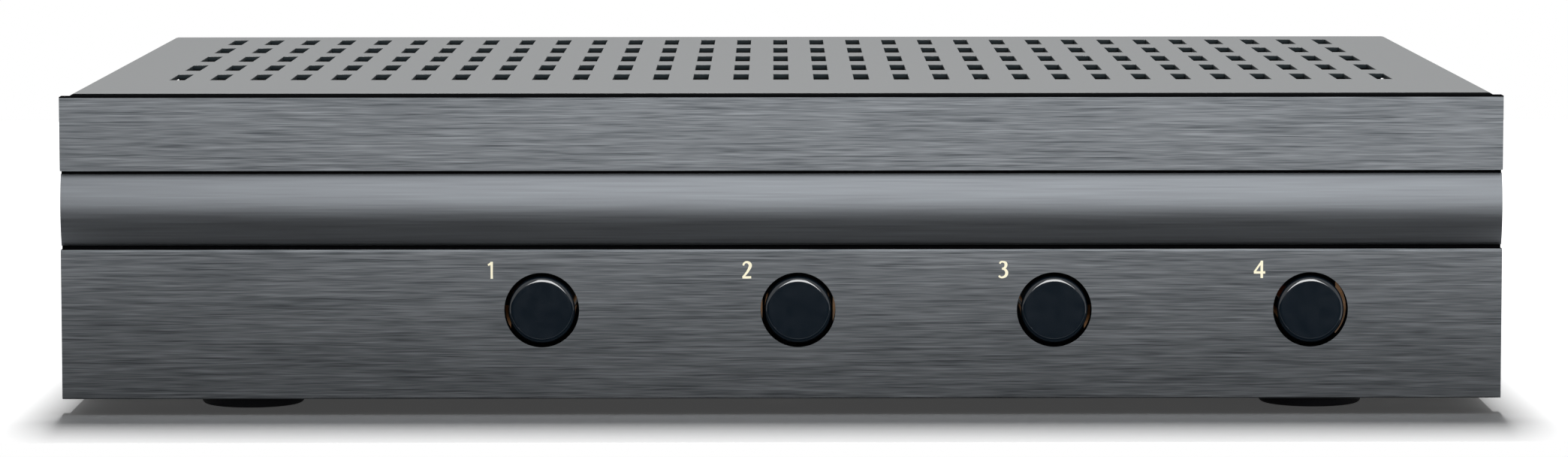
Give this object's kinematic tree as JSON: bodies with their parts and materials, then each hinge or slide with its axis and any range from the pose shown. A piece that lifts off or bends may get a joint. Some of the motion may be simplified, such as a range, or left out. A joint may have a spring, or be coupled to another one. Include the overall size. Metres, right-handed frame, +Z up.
{
  "type": "speaker selector switch",
  "caption": "Low black desktop box with a brushed fascia and crowned band, round push buttons, vented cover and rear screw-terminal plugs, for switching speaker pairs.",
  "frame": {"origin": "on the floor under the middle of the object's bounding box, plugs included", "axes": "+Z up, the fascia faces -Y, +X to the right seen from the front"},
  "size_m": [0.2816, 0.21, 0.0625],
  "materials": {
    "fascia_anodised": "brushed, black anodised",
    "case_paint": "semi-gloss black paint on steel",
    "foot_rubber": "matt black rubber",
    "button_plastic": "gloss black ABS",
    "screw_zinc": "zinc plated",
    "screw_black": "black oxide",
    "board_laminate": "paper phenolic laminate",
    "standoff_steel": "zinc plated",
    "plunger_plastic": "natural acetal",
    "switch_plastic": "black moulded",
    "spring_steel": "bright wire",
    "tinned_metal": "tin plated",
    "core_lamination": "varnished silicon steel laminations",
    "bobbin_plastic": "moulded nylon",
    "copper_enamel": "enamelled copper wire",
    "bracket_zinc": "zinc plated strip",
    "connector_black": "black moulded",
    "terminal_green": "green moulded polyamide"
  },
  "bodies": {
    "root": {"front_panel": "fascia_anodised", "chassis_tray": "case_paint", "top_cover": "case_paint", "foot_screws": "screw_zinc", "cover_screws": "screw_black", "panel_screws": "screw_zinc", "circuit_board": "board_laminate", "board_standoffs": "standoff_steel", "board_screws": "screw_zinc", "switch_pins": "tinned_metal", "autoformer_screws": "screw_zinc", "autoformer_leads": "copper_enamel", "jumper_headers": "connector_black", "header_pins": "tinned_metal", "foot_front_left": "foot_rubber", "foot_front_right": "foot_rubber", "foot_rear_left": "foot_rubber", "foot_rear_right": "foot_rubber", "switch_housing_1": "switch_plastic", "switch_spring_1": "spring_steel", "switch_housing_2": "switch_plastic", "switch_spring_2": "spring_steel", "switch_housing_3": "switch_plastic", "switch_spring_3": "spring_steel", "switch_housing_4": "switch_plastic", "switch_spring_4": "spring_steel", "autoformer_core_left": "core_lamination", "autoformer_bobbin_left": "bobbin_plastic", "autoformer_winding_left": "copper_enamel", "autoformer_bracket_left": "bracket_zinc", "autoformer_core_right": "core_lamination", "autoformer_bobbin_right": "bobbin_plastic", "autoformer_winding_right": "copper_enamel", "autoformer_bracket_right": "bracket_zinc", "header_input": "terminal_green", "header_output_1": "terminal_green", "header_output_2": "terminal_green", "header_output_3": "terminal_green", "header_output_4": "terminal_green"},
    "button_1": {"button_cap_1": "button_plastic", "switch_plunger_1": "plunger_plastic"},
    "button_2": {"button_cap_2": "button_plastic", "switch_plunger_2": "plunger_plastic"},
    "button_3": {"button_cap_3": "button_plastic", "switch_plunger_3": "plunger_plastic"},
    "button_4": {"button_cap_4": "button_plastic", "switch_plunger_4": "plunger_plastic"},
    "input_plug": {"plug_input": "terminal_green", "plug_screws_input": "tinned_metal"},
    "output_plug_1": {"plug_output_1": "terminal_green", "plug_screws_output_1": "tinned_metal"},
    "output_plug_2": {"plug_output_2": "terminal_green", "plug_screws_output_2": "tinned_metal"},
    "output_plug_3": {"plug_output_3": "terminal_green", "plug_screws_output_3": "tinned_metal"},
    "output_plug_4": {"plug_output_4": "terminal_green", "plug_screws_output_4": "tinned_metal"},
    "jumper_left": {"jumper_shunt_left": "connector_black"},
    "jumper_right": {"jumper_shunt_right": "connector_black"}
  },
  "joints": [
    {"name": "button_1_press", "type": "slide", "parent": "root", "child": "button_1", "axis": [0, 1, 0], "range_m": [0, 0.0035], "stiffness_N_per_m": 300, "springref_m": -0.003, "deforming": ["switch_spring_1"]},
    {"name": "button_2_press", "type": "slide", "parent": "root", "child": "button_2", "axis": [0, 1, 0], "range_m": [0, 0.0035], "stiffness_N_per_m": 300, "springref_m": -0.003, "deforming": ["switch_spring_2"]},
    {"name": "button_3_press", "type": "slide", "parent": "root", "child": "button_3", "axis": [0, 1, 0], "range_m": [0, 0.0035], "stiffness_N_per_m": 300, "springref_m": -0.003, "deforming": ["switch_spring_3"]},
    {"name": "button_4_press", "type": "slide", "parent": "root", "child": "button_4", "axis": [0, 1, 0], "range_m": [0, 0.0035], "stiffness_N_per_m": 300, "springref_m": -0.003, "deforming": ["switch_spring_4"]},
    {"name": "input_plug_pull", "type": "slide", "parent": "root", "child": "input_plug", "axis": [0, 1, 0], "range_m": [0, 0.012]},
    {"name": "output_plug_1_pull", "type": "slide", "parent": "root", "child": "output_plug_1", "axis": [0, 1, 0], "range_m": [0, 0.012]},
    {"name": "output_plug_2_pull", "type": "slide", "parent": "root", "child": "output_plug_2", "axis": [0, 1, 0], "range_m": [0, 0.012]},
    {"name": "output_plug_3_pull", "type": "slide", "parent": "root", "child": "output_plug_3", "axis": [0, 1, 0], "range_m": [0, 0.012]},
    {"name": "output_plug_4_pull", "type": "slide", "parent": "root", "child": "output_plug_4", "axis": [0, 1, 0], "range_m": [0, 0.012]},
    {"name": "jumper_left_lift", "type": "slide", "parent": "root", "child": "jumper_left", "axis": [0, 0, 1], "range_m": [0, 0.0065]},
    {"name": "jumper_right_lift", "type": "slide", "parent": "root", "child": "jumper_right", "axis": [0, 0, 1], "range_m": [0, 0.0065]}
  ]
}
